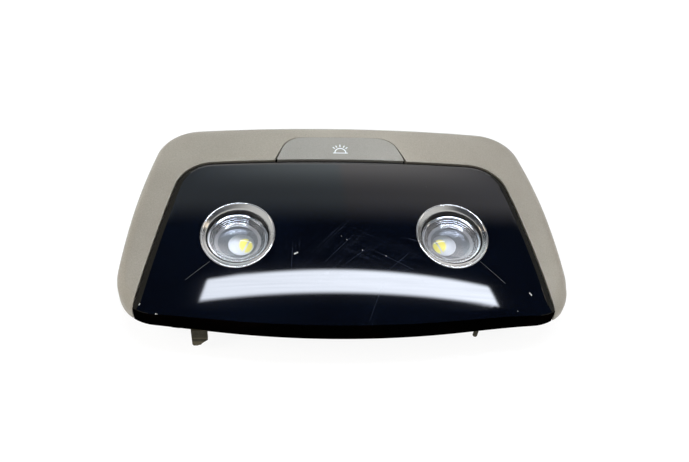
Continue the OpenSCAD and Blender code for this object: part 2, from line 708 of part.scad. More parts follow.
module screw(p, seat, length) {
    translate([p[0], p[1], seat - 1.4]) difference() {
        cylinder(r = head_r, h = 1.4);
        translate([-0.4, -1.8, -eps]) cube([0.8, 3.6, 0.7]);
        translate([-1.8, -0.4, -eps]) cube([3.6, 0.8, 0.7]);
    }
    translate([p[0], p[1], seat - eps]) cylinder(r = screw_r - 0.2, h = length);
}
module board_screws() {
    color([0.7, 0.7, 0.7]) each_side() for (p = board_screw_spots) screw(p, board_z, board_t + 2);
}
module cover_screws() {
    color([0.7, 0.7, 0.7]) each_side() for (p = cover_screw_spots) screw(p, 1.6, 8);
}

// folded spring clip that grips the roof panel's edge behind the lamp
module spring_clip() {
    clip_w = 9;
    sheet = 0.6;
    foot_y = cover_rear_y + 1.6;
    color([0.75, 0.74, 0.7]) translate([clip_x - clip_w / 2, 0, 0]) rotate([90, 0, 90])
        linear_extrude(height = clip_w) polygon([
            [foot_y, plate_z], [foot_y, 3], [foot_y + 1.4, 1.2], [foot_y + 2, 1.2], [foot_y + 4.4, 7],
            [foot_y + 3.2, 11], [foot_y + 2.6, 11], [foot_y + 3.7, 7], [foot_y + 1.7, 2.4],
            [foot_y + sheet, 3.6], [foot_y + sheet, plate_z]]);
}

module driver_chip() {
    color([0.1, 0.1, 0.1]) translate([-4, -20, board_z - 1.6]) cube([8, 6, 1.6]);
}
module capacitors() {
    color([0.55, 0.55, 0.58]) for (x = [16, 24]) translate([x, 20, board_z - 7.5]) cylinder(r = 3.1, h = 7.5);
}
module resistors() {
    color([0.3, 0.25, 0.2]) for (x = [-18:4:-6]) translate([x, 4, board_z - 0.8]) cube([1.6, 3.2, 0.8]);
}
module power_coil() {
    color([0.25, 0.24, 0.24]) translate([10, -2, board_z - 4]) cube([8, 8, 4]);
}

bezel();
front_panel();
carrier_frame();
mirror([1, 0, 0]) trim_ring();  // trim_ring_left
trim_ring();  // trim_ring_right
mirror([1, 0, 0]) lens();  // lens_left
lens();  // lens_right
mirror([1, 0, 0]) lens_sleeve();  // lens_sleeve_left
lens_sleeve();  // lens_sleeve_right
mirror([1, 0, 0]) lamp_led();  // led_left
lamp_led();  // led_right
circuit_board();
dome_button();
push_switch(-stem_x, stem_y);  // button_switch
push_switch(-lamp_x + switch_reach, -lamp_y);  // switch_left
push_switch(lamp_x - switch_reach, -lamp_y);  // switch_right
plunger(-stem_x, stem_y);  // button_plunger
plunger(-lamp_x + switch_reach, -lamp_y);  // plunger_left
plunger(lamp_x - switch_reach, -lamp_y);  // plunger_right
icon_light_guide();
icon_led();
rear_cover();
connector_shell();
connector_pins();
board_screws();
cover_screws();
mirror([1, 0, 0]) spring_clip();  // spring_clip_left
spring_clip();  // spring_clip_right
driver_chip();
capacitors();
resistors();
power_coil();
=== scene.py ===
from math import atan2, cos, hypot, pi, radians, sin, sqrt, tan
import bmesh
import bpy
from mathutils import Matrix, Vector


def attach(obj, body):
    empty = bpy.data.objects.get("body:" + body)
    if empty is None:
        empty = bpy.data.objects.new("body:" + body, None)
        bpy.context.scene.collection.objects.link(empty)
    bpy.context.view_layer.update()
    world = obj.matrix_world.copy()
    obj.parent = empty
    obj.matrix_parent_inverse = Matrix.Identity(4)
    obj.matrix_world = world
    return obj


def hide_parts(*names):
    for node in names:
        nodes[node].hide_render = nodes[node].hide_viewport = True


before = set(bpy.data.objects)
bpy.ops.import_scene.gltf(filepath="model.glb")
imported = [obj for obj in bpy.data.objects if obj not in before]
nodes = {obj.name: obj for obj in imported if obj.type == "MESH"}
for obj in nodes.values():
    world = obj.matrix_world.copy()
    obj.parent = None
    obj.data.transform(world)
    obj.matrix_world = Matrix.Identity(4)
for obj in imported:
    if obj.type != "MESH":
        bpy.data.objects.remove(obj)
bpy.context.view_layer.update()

# Camera: a short tele view from above the front edge, a little from the left and rolled,
# as the light was photographed while it lay on its back. Its lens is matched to a frame of 689 by 462 pixels, which
# the script doesn't set.
turn, tilt, roll = radians(-7.4), radians(51.5), radians(6.15)
back = Vector((sin(turn) * cos(tilt), -cos(turn) * cos(tilt), sin(tilt)))
level = Vector((cos(turn), sin(turn), 0))
upright = back.cross(level)
across = level * cos(roll) + upright * sin(roll)
upward = upright * cos(roll) - level * sin(roll)
camera_pose = Matrix((across, upward, back)).transposed().to_4x4()
aimed_at, distance = Vector((-0.0009, -0.0130, 0.0366)), 0.3723
camera_pose.translation = aimed_at + back * distance
camera_data = bpy.data.cameras.new("camera")
camera_data.sensor_fit = "HORIZONTAL"
camera_data.sensor_width = 36
camera_data.lens = 47.02
camera_data.clip_start = 0.01
camera = bpy.data.objects.new("camera", camera_data)
camera.matrix_world = camera_pose
bpy.context.scene.collection.objects.link(camera)
bpy.context.scene.camera = camera
bpy.context.scene.view_settings.view_transform = "Standard"

# Studio: a pale sheet under the light and all round it, with a dark ceiling over it, so that
# the polished panel stays black except where it mirrors a lamp. The two side lamps light the
# grey paint and aren't mirrored.


def material(name):
    """a new node material, with its shader and the coordinates of the piece"""
    made = bpy.data.materials.new(name)
    made.use_nodes = True
    tree = made.node_tree
    shader = tree.nodes["Principled BSDF"]
    place = tree.nodes.new("ShaderNodeTexCoord").outputs["Object"]
    return made, tree, shader, place


def node(tree, kind, inputs=None, **settings):
    """one shader node with its settings, its inputs linked or filled in"""
    made = tree.nodes.new(kind)
    for key, value in settings.items():
        setattr(made, key, value)
    for key, value in (inputs or {}).items():
        if isinstance(value, bpy.types.NodeSocket):
            tree.links.new(value, made.inputs[key])
        else:
            made.inputs[key].default_value = value
    return made


def maths(tree, operation, *inputs):
    """the result of one sum on sockets or numbers"""
    return node(tree, "ShaderNodeMath", dict(enumerate(inputs)), operation=operation).outputs[0]


def ramp(tree, value, from_min, from_max, to_min=0.0, to_max=1.0):
    """a smooth passage between two values, held beyond its ends"""
    return node(tree, "ShaderNodeMapRange", {"Value": value, "From Min": from_min, "From Max": from_max,
                "To Min": to_min, "To Max": to_max}, interpolation_type="SMOOTHSTEP").outputs["Result"]


def tinted(tree, factor, first, second):
    """a colour between two colours, each a socket or three numbers"""
    ends = {key: end if isinstance(end, bpy.types.NodeSocket) else (*end, 1)
            for key, end in (("A", first), ("B", second))}
    return node(tree, "ShaderNodeMix", {"Factor": factor, **ends}, data_type="RGBA").outputs[2]


def keep(bm, name):
    """the finished mesh as a linked object at the origin"""
    mesh = bpy.data.meshes.new(name)
    bm.to_mesh(mesh)
    bm.free()
    piece = bpy.data.objects.new(name, mesh)
    bpy.context.scene.collection.objects.link(piece)
    return piece


bm = bmesh.new()
bmesh.ops.create_grid(bm, x_segments=1, y_segments=1, size=4)
floor = keep(bm, "floor")
paper, tree, shader, place = material("floor paper")
grain = node(tree, "ShaderNodeTexNoise", {"Vector": place, "Scale": 3.0, "Detail": 2.0})
tint = node(tree, "ShaderNodeMapRange", {"Value": grain.outputs["Fac"], "To Min": 0.79, "To Max": 0.81})
shader.inputs["Roughness"].default_value = 0.9
shader.inputs["Specular IOR Level"].default_value = 0.1
tree.links.new(tint.outputs["Result"], shader.inputs["Base Color"])
path = node(tree, "ShaderNodeLightPath")
mirrored = maths(tree, "MAXIMUM", path.outputs["Is Glossy Ray"], path.outputs["Is Transmission Ray"])
seen = maths(tree, "MAXIMUM", path.outputs["Is Camera Ray"], mirrored)
shade = node(tree, "ShaderNodeBsdfDiffuse", {"Color": (0.13, 0.13, 0.13, 1)})
white = node(tree, "ShaderNodeEmission", {"Strength": 0.90})
lit = node(tree, "ShaderNodeAddShader", {0: shade.outputs[0], 1: white.outputs[0]})
sheet = node(tree, "ShaderNodeMixShader", {0: seen, 1: shader.outputs[0], 2: lit.outputs[0]})
tree.links.new(sheet.outputs[0], tree.nodes["Material Output"].inputs["Surface"])
floor.data.materials.append(paper)

world = bpy.data.worlds.new("studio")
bpy.context.scene.world = world
world.use_nodes = True
tree = world.node_tree
direction = node(tree, "ShaderNodeTexCoord")
height = node(tree, "ShaderNodeSeparateXYZ", {0: direction.outputs["Generated"]})
room = tinted(tree, ramp(tree, height.outputs["Z"], 0.40, 0.60), (0.95, 0.95, 0.94), (0.020, 0.026, 0.040))
tree.links.new(room, tree.nodes["Background"].inputs["Color"])


def softbox(name, centre, size, paint, aim=None):
    """a flat lamp, facing down or at a point; paint gives its colour and radiance at x and y in metres"""
    lamp = bpy.data.lights.new(name, "AREA")
    lamp.shape = "RECTANGLE"
    lamp.size, lamp.size_y = size
    lamp.energy = pi * size[0] * size[1]
    lamp.use_nodes = True
    glow = lamp.node_tree
    spot = node(glow, "ShaderNodeNewGeometry").outputs["Parametric"]
    part = node(glow, "ShaderNodeSeparateXYZ", {0: spot})
    x = maths(glow, "MULTIPLY_ADD", part.outputs["X"], size[0], centre[0] - size[0] / 2)
    y = maths(glow, "MULTIPLY_ADD", part.outputs["Y"], size[1], centre[1] - size[1] / 2)
    colour, radiance = paint(glow, x, y)
    for socket, value in (("Color", colour), ("Strength", radiance)):
        if isinstance(value, bpy.types.NodeSocket):
            glow.links.new(value, glow.nodes["Emission"].inputs[socket])
        else:
            glow.nodes["Emission"].inputs[socket].default_value = value
    holder = bpy.data.objects.new(lamp.name, lamp)
    facing = (Vector(aim) - Vector(centre)).to_track_quat("-Z", "Y").to_matrix().to_4x4() if aim else Matrix()
    holder.matrix_world = Matrix.Translation(centre) @ facing
    bpy.context.scene.collection.objects.link(holder)
    return holder


def strip_light(glow, x, y):
    """a bowed band with soft edges and slanted ends, in a faint haze"""
    bow = maths(glow, "POWER", maths(glow, "SUBTRACT", x, 0.02), 2.0)
    below_top = maths(glow, "SUBTRACT", maths(glow, "MULTIPLY_ADD", bow, -0.48, 0.0825), y)
    above_foot = maths(glow, "SUBTRACT", y, maths(glow, "MULTIPLY_ADD", bow, -0.30, 0.007))
    from_left = maths(glow, "SUBTRACT", x, maths(glow, "MULTIPLY_ADD", y, 0.184, -0.1965))
    from_right = maths(glow, "SUBTRACT", maths(glow, "MULTIPLY_ADD", y, -0.27, 0.309), x)
    band = maths(glow, "MULTIPLY", ramp(glow, below_top, -0.007, 0.009), ramp(glow, above_foot, -0.009, 0.009))
    ends = maths(glow, "MULTIPLY", ramp(glow, from_left, -0.003, 0.004), ramp(glow, from_right, -0.003, 0.004))
    haze = maths(glow, "MULTIPLY", ramp(glow, below_top, -0.050, 0.0), ramp(glow, above_foot, -0.050, 0.0))
    haze_ends = maths(glow, "MULTIPLY", ramp(glow, from_left, -0.05, 0.03), ramp(glow, from_right, -0.05, 0.03))
    haze = maths(glow, "MULTIPLY", haze, haze_ends)
    drawn = node(glow, "ShaderNodeCombineXYZ",
                 {0: maths(glow, "MULTIPLY", x, 2.0), 1: maths(glow, "MULTIPLY", y, 90.0)}).outputs[0]
    streak = node(glow, "ShaderNodeTexNoise", {"Vector": drawn, "Scale": 2.5, "Detail": 4.0}).outputs["Fac"]
    radiance = maths(glow, "MULTIPLY", ramp(glow, streak, 0.3, 0.7, 20.0, 23.5), ramp(glow, x, -0.2, 0.3, 0.95, 1.06))
    band = maths(glow, "MULTIPLY", maths(glow, "MULTIPLY", band, ends), radiance)
    return (0.84, 0.895, 1.0, 1), maths(glow, "MULTIPLY_ADD", haze, 0.10, band)


def rear_light(glow, x, y):
    """an even band with a brighter middle far back, cooler on the left"""
    bow = maths(glow, "POWER", maths(glow, "SUBTRACT", x, 0.051), 2.0)
    depth = maths(glow, "MULTIPLY_ADD", bow, -0.35, y)
    even = maths(glow, "MULTIPLY", ramp(glow, depth, 0.245, 0.39), ramp(glow, x, -0.26, 0.38, 0.50, 0.80))
    middle = maths(glow, "MULTIPLY_ADD", maths(glow, "POWER", maths(glow, "SUBTRACT", x, 0.08), 2.0), -9.0, 1.0)
    far = maths(glow, "MULTIPLY", ramp(glow, depth, 0.40, 0.70, 0.0, 1.75), maths(glow, "MAXIMUM", middle, 0.0))
    colour = tinted(glow, ramp(glow, x, 0.045, 0.065), (0.90, 1.0, 1.02), (1.04, 1.0, 0.98))
    return colour, maths(glow, "ADD", even, far)


def warm_light(glow, x, y):
    """an even warm patch"""
    return (1.0, 0.86, 0.68, 1), 3.0


def side_light(glow, x, y):
    """a slightly warm patch, stronger on the left"""
    return (1.0, 0.95, 0.87, 1), ramp(glow, x, -0.3, 0.3, 7.4, 3.0)


middle_of_light = (0, 0, 0.03)
softbox("strip lamp", (0.057, 0.030, 0.6), (0.62, 0.24), strip_light)
softbox("rear lamp", (0.05, 0.60, 0.6), (1.0, 0.80), rear_light)
for side, name in ((-1, "left"), (1, "right")):
    softbox("warm lamp " + name, (side * 0.62, 0.10, 0.55), (0.16, 0.16), warm_light, middle_of_light)
    holder = softbox("side lamp " + name, (side * 0.80, -0.22, 0.62), (0.5, 0.5), side_light, middle_of_light)
    holder.visible_glossy = False

# Front panel: one gloss black moulding, crowned both ways, with a bevel along its sides and
# two round openings. Its front edge turns straight down and closes the front of the light.
# It is bonded to the carrier's towers.
crown_across, crown_along = 0.700, 0.220
crest_y, crest_z = 0.018, 0.0366
rim_z = 0.0145
moulding_wall = 0.0022
panel_skirt = 0.005
lamp_x, lamp_y = 0.045, -0.012
opening_r = 0.0155


def crown(x, y):
    """height of the crowned face"""
    swing = crown_across - crown_along + sqrt(crown_along ** 2 - (y - crest_y) ** 2)
    return crest_z - crown_across + sqrt(swing ** 2 - x ** 2)


def traced(corners):
    """a flat face through corners of x, y, radius (in millimetres) and steps, seen from above"""
    bm = bmesh.new()
    spots = [Vector((x, y, 0)) / 1000 for x, y, r, n in corners]
    for i, (x, y, radius, steps) in enumerate(corners):
        here = spots[i]
        before = (spots[i - 1] - here).normalized()
        after = (spots[(i + 1) % len(spots)] - here).normalized()
        if not radius:
            bm.verts.new(here)
            continue
        half = before.angle(after) / 2
        centre = here + (before + after).normalized() * radius / 1000 / sin(half)
        start = bm.verts.new(here + before * radius / 1000 / tan(half))
        bmesh.ops.spin(bm, geom=[start], cent=centre, axis=(0, 0, 1), angle=pi - 2 * half, steps=steps)
    bmesh.ops.remove_doubles(bm, verts=bm.verts, dist=5e-5)
    bm.faces.new(bm.verts)
    bm.normal_update()
    return bm


def both_sides(half):
    """the corners of the right half, followed by their mirror image"""
    return half + [(-x, y, r, n) for x, y, r, n in reversed(half) if x > 0]


def stepped_in(bm, rings):
    """the face's edge dressed with rings of a width and a rise"""
    for width, rise in rings:
        bmesh.ops.inset_region(bm, faces=[max(bm.faces, key=lambda f: f.calc_area())], thickness=width,
                               depth=rise, use_even_offset=True, use_boundary=True)


def reached(v):
    """draws a front corner a little further forward than the plain outline"""
    share = min(1, max(0, (0.005 - v.co.y) / 0.046)) * min(1, max(0, (abs(v.co.x) - 0.05) / 0.04)) ** 2
    v.co.y -= share * (0.0030 if v.co.x > 0 else 0.0012)


def sliced(bm, pitch):
    """crossing cuts, so that the face can take the crown"""
    for axis, reach in ((0, 0.096), (1, 0.054)):
        count = int(reach / pitch)
        for k in range(-count, count + 1):
            spot, way = Vector((0, 0, 0)), Vector((0, 0, 0))
            spot[axis], way[axis] = k * pitch + 0.00011, 1
            bmesh.ops.bisect_plane(bm, geom=bm.verts[:] + bm.edges[:] + bm.faces[:], dist=1e-7,
                                   plane_co=spot, plane_no=way)


def skirted(bm, depth):
    """a wall hung from the open edge"""
    rim = bmesh.ops.extrude_edge_only(bm, edges=[e for e in bm.edges if e.is_boundary])
    for v in rim["geom"]:
        if isinstance(v, bmesh.types.BMVert):
            v.co.z = -depth


def raised(bm, height):
    """the flat faces given a thickness"""
    risen = bmesh.ops.extrude_face_region(bm, geom=bm.faces[:])
    bmesh.ops.translate(bm, verts=[v for v in risen["geom"] if isinstance(v, bmesh.types.BMVert)], vec=(0, 0, height))


def prism(corners, name):
    """a tall tool with that outline"""
    bm = traced(corners)
    bmesh.ops.translate(bm, verts=bm.verts, vec=(0, 0, -0.03))
    raised(bm, 0.06)
    bmesh.ops.recalc_face_normals(bm, faces=bm.faces)
    return keep(bm, name)


def walled_and_cut(piece, wall, tools):
    """the sheet with its wall, less the tools, as an editable mesh"""
    solid = piece.modifiers.new("wall", "SOLIDIFY")
    solid.thickness = wall
    solid.offset = -1
    solid.use_even_offset = True
    for tool in tools:
        opening = piece.modifiers.new("opening", "BOOLEAN")
        opening.operation = "DIFFERENCE"
        opening.solver = "EXACT"
        opening.object = tool
    shape = bpy.data.meshes.new_from_object(piece.evaluated_get(bpy.context.evaluated_depsgraph_get()))
    for unused in (piece, *tools):
        bpy.data.objects.remove(unused)
    bm = bmesh.new()
    bm.from_mesh(shape)
    bmesh.ops.remove_doubles(bm, verts=bm.verts, dist=1e-6)
    return bm


def smoothed(bm, crease=0.45):
    """smooth shading that breaks at sharp edges"""
    for f in bm.faces:
        f.smooth = True
    for e in bm.edges:
        e.smooth = e.calc_face_angle(0) < crease


def edge_broken(piece, width, segments=2):
    """the fine round that a moulding has on its sharp edges"""
    edge = piece.modifiers.new("edge", "BEVEL")
    edge.limit_method = "ANGLE"
    edge.angle_limit = 0.5
    edge.width = width
    edge.segments = segments
    edge.use_clamp_overlap = True
    even = piece.modifiers.new("even", "WEIGHTED_NORMAL")
    even.keep_sharp = True
    even.weight = 90


panel_half = [(0, -57.2, 400, 48), (82.597, -43.276, 19, 5), (86.244, -40.587, 0, 0), (69.3, 27.4, 16, 14)]
bevel = [(0.0002, 0.0003), (0.0020, 0.0010), (0.0006, 0.0002)]
bevel_rise = sum(rise for width, rise in bevel)
bm = traced(both_sides(panel_half))
stepped_in(bm, bevel)
sliced(bm, 0.003)
skirted(bm, panel_skirt)
sheet = keep(bm, "sheet")
openings = []
for side in (-1, 1):
    bm = bmesh.new()
    bmesh.ops.create_cone(bm, cap_ends=True, segments=160, radius1=opening_r, radius2=opening_r, depth=0.06,
                          matrix=Matrix.Translation((side * lamp_x, lamp_y, 0)))
    openings.append(keep(bm, "opening"))
bm = walled_and_cut(sheet, moulding_wall, openings)
for v in bm.verts:
    wall_foot = v.co.y < -0.0400 and v.co.z < 0.0001 - panel_skirt
    sharper = 1 - 0.7 * min(1, max(0, (-0.0385 - v.co.y) / 0.003)) if v.co.z > -0.0001 else 1
    reached(v)
    v.co.z = rim_z if wall_foot else crown(v.co.x, v.co.y) + (v.co.z - bevel_rise) * sharper
smoothed(bm)
# the front wall takes the shaded black; the side bevel takes a lighter black whose colour is a painted reflection of
# the pale room
for f in bm.faces:
    spot = f.calc_center_median()
    below_crown = crown(spot.x, spot.y) - spot.z
    by_opening = hypot(abs(spot.x) - lamp_x, spot.y - lamp_y) < opening_r + 0.0015
    if f.normal.y < -0.3 and f.normal.z < 0.3 and spot.y < -0.036 and below_crown > 0.0004:
        f.material_index = 1
    elif abs(f.normal.x) > 0.22 and below_crown < 0.003 and not by_opening:
        f.material_index = 2
front_panel = keep(bm, "gloss_panel")
edge_broken(front_panel, 0.00012)


def run_and_lean(start, end):
    """the length and the direction of a line between two points"""
    return hypot(end[0] - start[0], end[1] - start[1]), atan2(end[1] - start[1], end[0] - start[0])


def scratch(tree, place, start, end, width, depth):
    """a straight score between two points (in millimetres), as a mask that fades across its width"""
    run, lean = run_and_lean(start, end)
    local = node(tree, "ShaderNodeMapping", {"Vector": place, "Location": (start[0] / 1000, start[1] / 1000, 0),
                 "Rotation": (0, 0, lean), "Scale": (run / 1000, width / 1000, 1)}, vector_type="TEXTURE")
    part = node(tree, "ShaderNodeSeparateXYZ", {0: local.outputs[0]})
    inside = maths(tree, "COMPARE", part.outputs["X"], 0.5, 0.5)
    beside = maths(tree, "ABSOLUTE", part.outputs["Y"])
    return maths(tree, "MULTIPLY", ramp(tree, beside, 0.3, 1.0, depth, 0.0), inside)


def hairlines(tree, place, centre, reach, lean, pitch):
    """a patch of fine parallel scores, as a mask"""
    away = node(tree, "ShaderNodeMapping", {"Vector": place, "Location": (centre[0] / 1000, centre[1] / 1000, 0),
                "Rotation": (0, 0, lean), "Scale": (reach[0] / 1000, reach[1] / 1000, 1)}, vector_type="TEXTURE")
    flat = node(tree, "ShaderNodeVectorMath", {0: away.outputs[0], 1: (1, 1, 0)}, operation="MULTIPLY")
    near = node(tree, "ShaderNodeVectorMath", {0: flat.outputs[0]}, operation="LENGTH").outputs["Value"]
    drawn = node(tree, "ShaderNodeVectorMath", {0: flat.outputs[0], 1: (0.6, reach[1] / pitch, 0)},
                 operation="MULTIPLY")
    score = node(tree, "ShaderNodeTexNoise", {"Vector": drawn.outputs[0], "Scale": 1.0, "Detail": 1.0}).outputs["Fac"]
    return maths(tree, "MULTIPLY", ramp(tree, score, 0.56, 0.67), ramp(tree, near, 0.4, 1.0, 1.0, 0.0))


def clouded(name, dark, pale, scale, rough, detail=3.0, span=(0.3, 0.7), constants=None):
    """a finish with a faint cloud in its colour, and in its roughness where that is a pair"""
    made, tree, shader, place = material(name)
    cloud = node(tree, "ShaderNodeTexNoise", {"Vector": place, "Scale": scale, "Detail": detail}).outputs["Fac"]
    tree.links.new(tinted(tree, cloud, dark, pale), shader.inputs["Base Color"])
    if isinstance(rough, tuple):
        tree.links.new(ramp(tree, cloud, *span, *rough), shader.inputs["Roughness"])
    else:
        shader.inputs["Roughness"].default_value = rough
    for socket, value in (constants or {}).items():
        shader.inputs[socket].default_value = value
    return made


gloss_black, tree, shader, place = material("gloss black")
cloud = node(tree, "ShaderNodeTexNoise", {"Vector": place, "Scale": 34.0, "Detail": 3.0}).outputs["Fac"]
tone = tinted(tree, ramp(tree, cloud, 0.35, 0.7), (0.0006, 0.0011, 0.0030), (0.0010, 0.0020, 0.0052))
paler_marks = 0.0
for start, end, width, strength in (
        ((-65.5, -31.6), (-55.9, -24.1), 0.16, 0.10), ((55.8, -23.8), (65.6, -33.0), 0.16, 0.10),
        ((-21.7, -22.0), (-20.1, -21.2), 0.34, 1.0), ((75.6, -36.3), (76.5, -37.5), 0.34, 0.9),
        ((-76.9, -44.6), (-76.0, -45.0), 0.34, 0.8), ((-83.6, -40.9), (-83.1, -40.2), 0.25, 0.6),
        ((0.0, -15.4), (0.3, -15.8), 0.22, 0.25), ((-2.2, -13.6), (-1.9, -14.0), 0.22, 0.18),
        ((15.9, -22.7), (16.4, -22.9), 0.25, 0.4), ((69.5, -44.3), (69.9, -44.3), 0.2, 0.35),
        ((6.4, -20.0), (6.5, -20.6), 0.2, 0.3), ((54.0, -17.0), (54.3, -17.2), 0.2, 0.25)):
    paler_marks = maths(tree, "MAXIMUM", paler_marks, scratch(tree, place, start, end, width, strength))
fine = 0.0
for centre, reach, lean, pitch in (
        ((27.4, -14.5), (7, 2.6), radians(-12), 1.1), ((-6, -22), (24, 13), radians(46), 0.7),
        ((2, -24), (18, 9), radians(38), 0.6), ((17, -23), (26, 10), radians(-27), 0.8),
        ((20, -26), (16, 7), radians(42), 0.7), ((10, -45), (20, 3.5), radians(68), 0.5),
        ((-23, -25), (14, 8), radians(87), 0.8)):
    fine = maths(tree, "MAXIMUM", fine, hairlines(tree, place, centre, reach, lean, pitch))
tone = tinted(tree, maths(tree, "MULTIPLY", fine, 0.026), tone, (0.40, 0.48, 0.72))
cells = node(tree, "ShaderNodeTexVoronoi", {"Vector": place, "Scale": 105.0})
rare = node(tree, "ShaderNodeSeparateColor", {0: cells.outputs["Color"]}).outputs["Red"]
speck = ramp(tree, cells.outputs["Distance"], 0.008, 0.022, 0.22, 0.0)
paler_marks = maths(tree, "MAXIMUM", paler_marks, maths(tree, "MULTIPLY", speck, ramp(tree, rare, 0.72, 0.74)))
tree.links.new(tinted(tree, paler_marks, tone, (0.62, 0.64, 0.62)), shader.inputs["Base Color"])
rubbed = maths(tree, "MULTIPLY_ADD", cloud, 0.04, paler_marks)
tree.links.new(ramp(tree, rubbed, 0.0, 0.5, 0.035, 0.5), shader.inputs["Roughness"])
shader.inputs["IOR"].default_value = 1.52
shaded_black, tree, shader, place = material("shaded black")
cloud = node(tree, "ShaderNodeTexNoise", {"Vector": place, "Scale": 60.0, "Detail": 3.0}).outputs["Fac"]
tone = tinted(tree, ramp(tree, cloud, 0.45, 0.75), (0.0003, 0.0003, 0.0003), (0.0016, 0.0008, 0.0006))
tree.links.new(tone, shader.inputs["Base Color"])
tree.links.new(ramp(tree, cloud, 0.3, 0.7, 0.12, 0.22), shader.inputs["Roughness"])
shader.inputs["Specular IOR Level"].default_value = 0.0
# The bevel black is lighter and warmer than the panel's black and has almost no shine: a painted reflection of the
# room on the same gloss moulding.
bevel_black_with_painted_reflection = clouded("bevel black, painted reflection", (0.0100, 0.0098, 0.0085), (0.0150, 0.0145, 0.0125), 120.0, (0.10, 0.18),
                      constants={"Specular IOR Level": 0.01})
for finish in (gloss_black, shaded_black, bevel_black_with_painted_reflection):
    front_panel.data.materials.append(finish)
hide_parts("front_panel")
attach(front_panel, "housing")

# Bezel: a U-shaped moulding in satin grey paint with a metallic fleck, rounded along its outer
# edge. It runs round the sides and the rear of the panel, ends in a tip at each front corner,
# and is bonded to the carrier's towers like the panel.
bezel_round = 0.0045
bezel_drop = 0.0007
bezel_skirt = 0.012
half_width = 0.09388
slope, slope_x, slope_y = radians(14), 69.65, 27.85
right_corner_fuller = 0.0022
outer_half = [(0, -57.2, 400, 48), (96.1, -41, 19, 16), (90.3, 5, 480, 12), (79, 51.56, 19, 16)]
bm = traced(both_sides(outer_half))
arc = [(1 - cos(a), sin(a) - 1) for a in (radians(15 * k) for k in range(7))]
stepped_in(bm, [(bezel_round * (q[0] - p[0]), bezel_round * (q[1] - p[1])) for p, q in zip(arc, arc[1:])])
bmesh.ops.translate(bm, verts=bm.verts, vec=(0, 0, -bezel_round))
sliced(bm, 0.003)
skirted(bm, bezel_skirt)
openings = [prism([(85.57, -36, 0, 0), (slope_x, slope_y, 16.45, 14), (-slope_x, slope_y, 16.45, 14),
                   (-85.57, -36, 0, 0)], "panel opening"),
            prism([(29.5, 26, 0, 0), (22.82, 42.70, 10, 12), (-24.02, 42.70, 10, 12), (-30.7, 26, 0, 0)],
                  "button opening")]
bm = walled_and_cut(keep(bm, "sheet"), moulding_wall, openings)
for side in (-1, 1):
    ahead = [f for f in bm.faces if f.calc_center_median().y < -0.033]
    bmesh.ops.bisect_plane(bm, geom=ahead + list({g for f in ahead for g in (*f.verts, *f.edges)}), dist=1e-7,
                           plane_co=(side * slope_x / 1000, slope_y / 1000, 0),
                           plane_no=(cos(slope), side * sin(slope), 0))
offcut = [f for f in bm.faces for c in (f.calc_center_median(),)
          if c.y < -0.03595 and abs(c.x) < slope_x / 1000 + (slope_y / 1000 - c.y) * tan(slope) - 1e-6]
bmesh.ops.delete(bm, geom=offcut, context="FACES")
bmesh.ops.holes_fill(bm, edges=[e for e in bm.edges if e.is_boundary])
for v in bm.verts:
    wall_foot = v.co.z < 0.0002 - bezel_skirt
    fuller = min(1, max(0, (-0.028 - v.co.y) / 0.014)) * min(1, max(0, (v.co.x - 0.0855) / 0.007))
    reached(v)
    v.co.x = max(-half_width, min(v.co.x + right_corner_fuller * fuller, half_width))
    v.co.z = rim_z if wall_foot else crown(v.co.x, v.co.y) + v.co.z - bezel_drop
smoothed(bm)
bezel = keep(bm, "painted_bezel")
edge_broken(bezel, 0.0003, 3)

grey_paint, tree, shader, place = material("grey paint")
fleck = node(tree, "ShaderNodeTexNoise", {"Vector": place, "Scale": 2300.0, "Detail": 2.0}).outputs["Fac"]
cloud = node(tree, "ShaderNodeTexNoise", {"Vector": place, "Scale": 18.0, "Detail": 3.0}).outputs["Fac"]
tone = ramp(tree, maths(tree, "MULTIPLY_ADD", fleck, 0.9, cloud), 0.60, 1.30)
paint = node(tree, "ShaderNodeMix", {"Factor": tone, "A": (0.256, 0.237, 0.199, 1), "B": (0.332, 0.309, 0.262, 1)},
             data_type="RGBA", name="paint")
tree.links.new(paint.outputs[2], shader.inputs["Base Color"])
tree.links.new(ramp(tree, fleck, 0.3, 0.7, 0.50, 0.36), shader.inputs["Roughness"])
shader.inputs["Metallic"].default_value = 0.25
shader.inputs["Specular IOR Level"].default_value = 0.3
bump = node(tree, "ShaderNodeBump", {"Height": fleck, "Strength": 0.35, "Distance": 0.00003})
tree.links.new(bump.outputs["Normal"], shader.inputs["Normal"])
bezel.data.materials.append(grey_paint)
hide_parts("bezel")
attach(bezel, "housing")

# Dome button: a crowned cap in the same paint, a shade cooler, flush in the bezel. It rocks on two
# pins behind it and pushes its switch with a stem. Its sign, an arch with five rays, is lit from below.
cap_drop = 0.00006
bm = traced([(27.8, 28.1, 0.8, 5), (22.78, 42.66, 9.98, 12), (-23.98, 42.66, 9.98, 12), (-29.0, 28.1, 0.8, 5)])
stepped_in(bm, [(0.00008, cap_drop)])
sliced(bm, 0.002)
skirted(bm, 0.004)
bm = walled_and_cut(keep(bm, "sheet"), 0.0016, [])
for v in bm.verts:
    v.co.z = crown(v.co.x, v.co.y) + v.co.z - cap_drop - bezel_drop
smoothed(bm)
button_cap = keep(bm, "button_cap")
edge_broken(button_cap, 0.00008)


def block(bm, low, high):
    """a box between two corners in millimetres"""
    middle, size = [(a + b) / 2000 for a, b in zip(low, high)], [(b - a) / 1000 for a, b in zip(low, high)]
    bmesh.ops.create_cube(bm, size=1, matrix=Matrix.Translation(middle) @ Matrix.Diagonal((*size, 1)))


